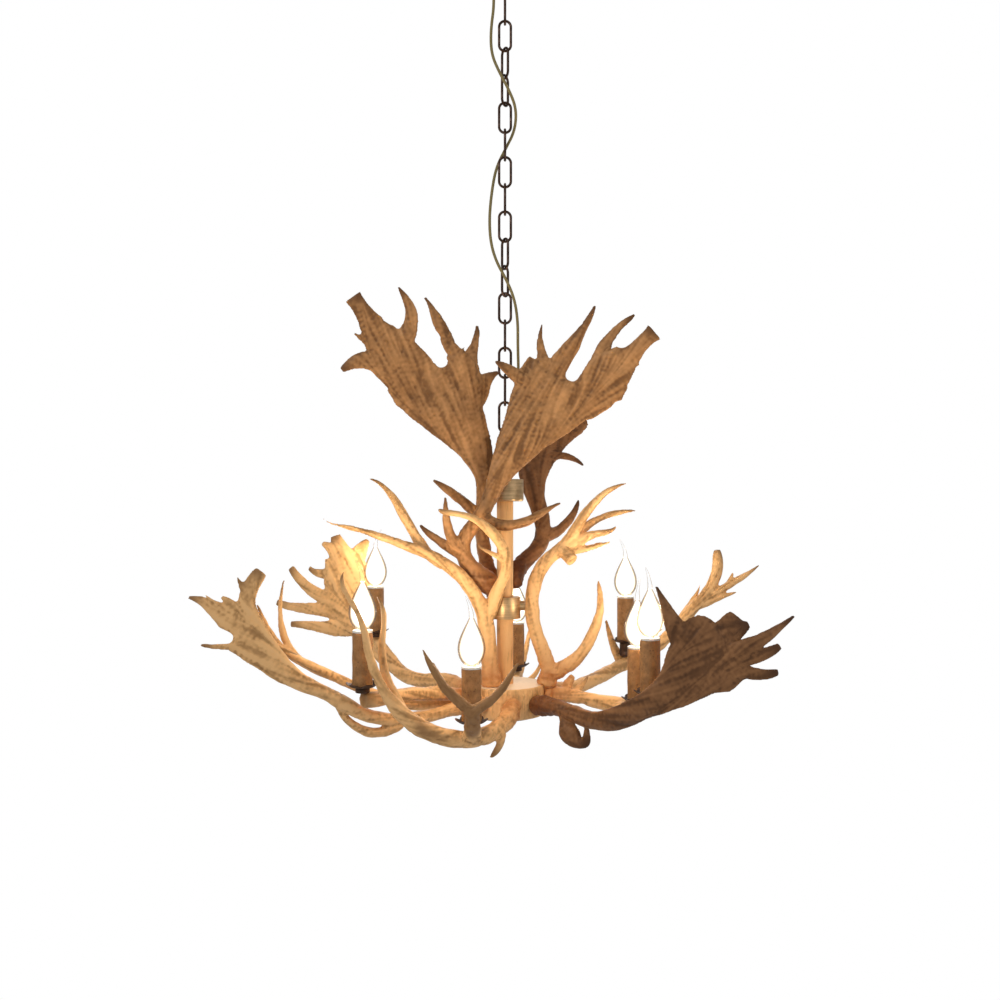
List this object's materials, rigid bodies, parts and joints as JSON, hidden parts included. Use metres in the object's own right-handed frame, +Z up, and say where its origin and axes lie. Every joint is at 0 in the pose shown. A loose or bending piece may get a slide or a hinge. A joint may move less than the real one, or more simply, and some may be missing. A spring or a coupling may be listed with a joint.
{
  "type": "antler chandelier",
  "caption": "Chandelier of resin antlers round a hub and column, with candle lamps on the lower antlers, hung on a chain with its cord from a ceiling canopy.",
  "frame": {"origin": "middle of the ceiling plate's top face, where the chandelier hangs from the ceiling", "axes": "+Z up into the ceiling, +X to the viewer's right in the picture, the viewer at -Y"},
  "size_m": [0.7877, 0.481, 1.1369],
  "materials": {
    "antler_resin": "cast resin, satin, grained and toned like old antler",
    "hub_resin": "cast resin with wood grain",
    "sleeve_resin": "tan-brown, pitted, matt",
    "holder_white": "glazed white",
    "lamp_glass": "clear, lit warm white",
    "dark_pan": "dark bronze, satin",
    "dark_bronze": "antique bronze, worn",
    "brushed_gold": "brushed, antique gold",
    "aged_brass": "aged",
    "zinc_steel": "zinc plated",
    "cord_cover": "olive-gold braid"
  },
  "bodies": {
    "ceiling": {"ceiling_bracket": "zinc_steel", "canopy": "dark_bronze", "canopy_screws": "aged_brass", "ceiling_hook": "dark_bronze", "hook_nut": "zinc_steel"},
    "top_ring": {"top_ring": "dark_bronze"},
    "chain": {"chain_links": "dark_bronze", "power_cord": "cord_cover"},
    "lamp": {"back_arm_antler": "antler_resin", "back_left_palm": "antler_resin", "back_right_antler": "antler_resin", "bulb_back_centre": "lamp_glass", "bulb_back_left": "lamp_glass", "bulb_back_right": "lamp_glass", "bulb_front_centre": "lamp_glass", "bulb_front_left": "lamp_glass", "bulb_right_front": "lamp_glass", "bulb_right_side": "lamp_glass", "candle_sleeve_back_centre": "sleeve_resin", "candle_sleeve_back_left": "sleeve_resin", "candle_sleeve_back_right": "sleeve_resin", "candle_sleeve_front_centre": "sleeve_resin", "candle_sleeve_front_left": "sleeve_resin", "candle_sleeve_right_front": "sleeve_resin", "candle_sleeve_right_side": "sleeve_resin", "centre_tube": "zinc_steel", "collar_screw": "aged_brass", "column": "hub_resin", "drip_pan_back_centre": "dark_pan", "drip_pan_back_left": "dark_pan", "drip_pan_back_right": "dark_pan", "drip_pan_front_centre": "dark_pan", "drip_pan_front_left": "dark_pan", "drip_pan_right_front": "dark_pan", "drip_pan_right_side": "dark_pan", "finial_nut": "dark_bronze", "front_antler": "antler_resin", "hanging_eye": "dark_bronze", "hub": "hub_resin", "hub_cover": "dark_bronze", "lamp_holder_back_centre": "holder_white", "lamp_holder_back_left": "holder_white", "lamp_holder_back_right": "holder_white", "lamp_holder_front_centre": "holder_white", "lamp_holder_front_left": "holder_white", "lamp_holder_right_front": "holder_white", "lamp_holder_right_side": "holder_white", "lamp_ring": "dark_bronze", "left_arm_antler": "antler_resin", "left_front_palm": "antler_resin", "left_rear_antler": "antler_resin", "lower_collar": "brushed_gold", "mid_left_antler": "antler_resin", "mid_right_antler": "antler_resin", "right_arm_antler": "antler_resin", "right_front_palm": "antler_resin", "upper_back_palm": "antler_resin", "upper_collar": "brushed_gold", "upper_left_palm": "antler_resin", "upper_right_palm": "antler_resin"}
  },
  "joints": [
    {"name": "fore_and_aft_swing", "type": "hinge", "parent": "ceiling", "child": "top_ring", "pos_m": [0, 0, -0.04785], "axis": [1, 0, 0], "range_deg": [-6, 6]},
    {"name": "side_swing", "type": "hinge", "parent": "top_ring", "child": "chain", "pos_m": [0, 0, -0.06155], "axis": [0, 1, 0], "range_deg": [-6, 6]},
    {"name": "lamp_tilt", "type": "hinge", "parent": "chain", "child": "lamp", "pos_m": [0, 0, -0.74735], "axis": [0, 1, 0], "range_deg": [-6, 6]}
  ]
}
